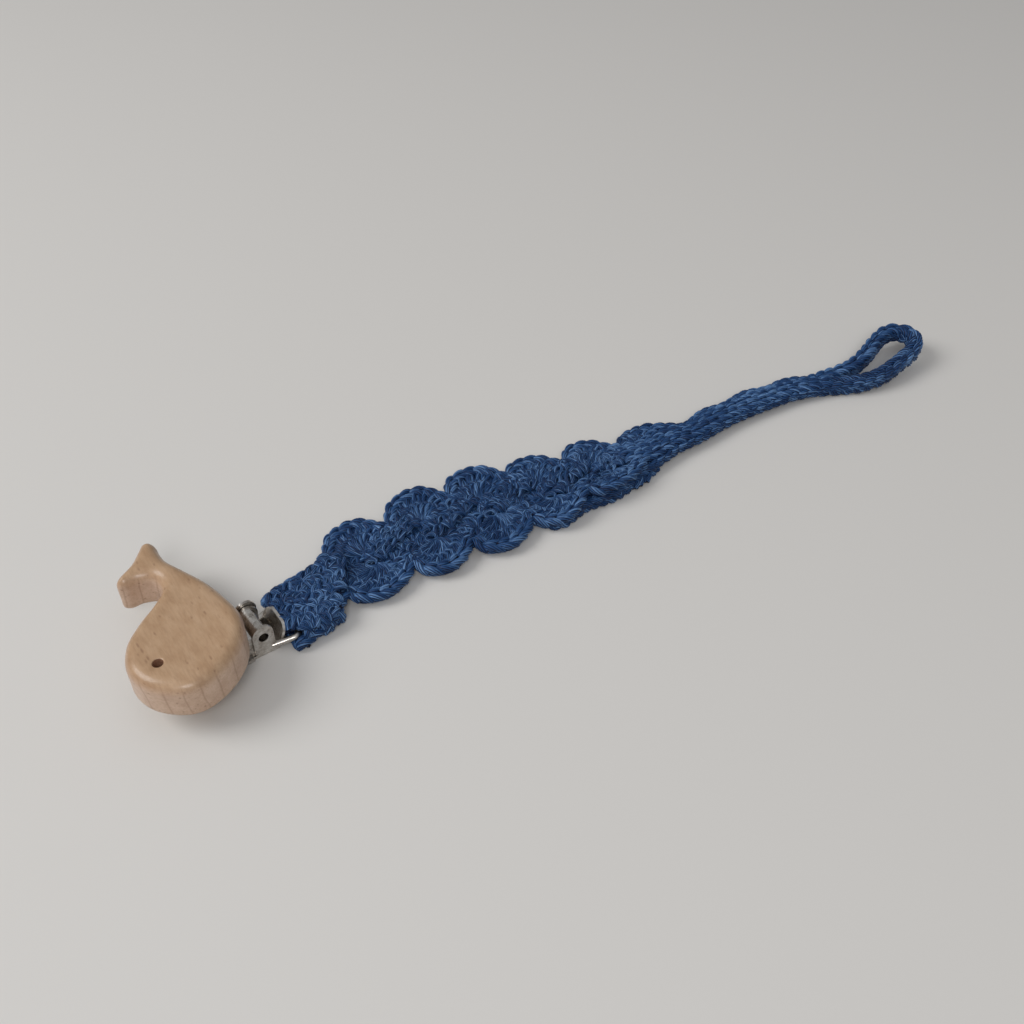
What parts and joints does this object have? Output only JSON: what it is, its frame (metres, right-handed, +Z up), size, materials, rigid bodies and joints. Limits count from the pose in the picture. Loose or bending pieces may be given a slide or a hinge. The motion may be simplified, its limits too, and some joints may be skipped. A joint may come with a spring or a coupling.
{
  "type": "soother strap with clip",
  "caption": "Crocheted cotton strap with a spring clip under a wooden whale at one end and a cord loop for a soother at the other.",
  "frame": {"origin": "on the underside of the clip's base plate, straight below the pivot pin's middle", "axes": "+X from the clip along the strap to the loop, +Y across the strap towards the whale's tail, +Z up from the surface it lies on"},
  "size_m": [0.2238, 0.0426, 0.0144],
  "materials": {
    "nickel_plate": "bright nickel-plated sheet steel",
    "jaw_plastic": "moulded off-white plastic",
    "beech": "sanded beech, waxed",
    "blue_cotton": "plied cotton yarn, crocheted"
  },
  "bodies": {
    "clip_base": {"base_plate": "nickel_plate", "pivot_pin": "nickel_plate"},
    "lever": {"lever_plate": "nickel_plate", "lever_screws": "nickel_plate", "whale_body": "beech"},
    "upper_jaw": {"spring_jaw": "nickel_plate", "jaw_pad": "jaw_plastic"},
    "strap": {"strap_hem": "blue_cotton", "strap_band": "blue_cotton"},
    "strap_end": {"strap_tail": "blue_cotton", "loop_cord": "blue_cotton"}
  },
  "joints": [
    {"name": "lever_hinge", "type": "hinge", "parent": "clip_base", "child": "lever", "pos_m": [0, 0, 0.0051], "axis": [0, 1, 0], "range_deg": [0, 85]},
    {"name": "jaw_flex", "type": "hinge", "parent": "clip_base", "child": "upper_jaw", "pos_m": [0.0014, 0, 0.00085], "axis": [0, 1, 0], "range_deg": [0, 12]},
    {"name": "strap_swing", "type": "hinge", "parent": "clip_base", "child": "strap", "pos_m": [0.0074, 0, 0.0022], "axis": [0, -1, 0], "range_deg": [0, 50]},
    {"name": "strap_bend", "type": "hinge", "parent": "strap", "child": "strap_end", "pos_m": [0.0995, 0, 0.004], "axis": [0, -1, 0], "range_deg": [0, 90]}
  ],
  "couplings": [
    {"joint": "jaw_flex", "follows": "lever_hinge", "ratio": 0.14}
  ]
}
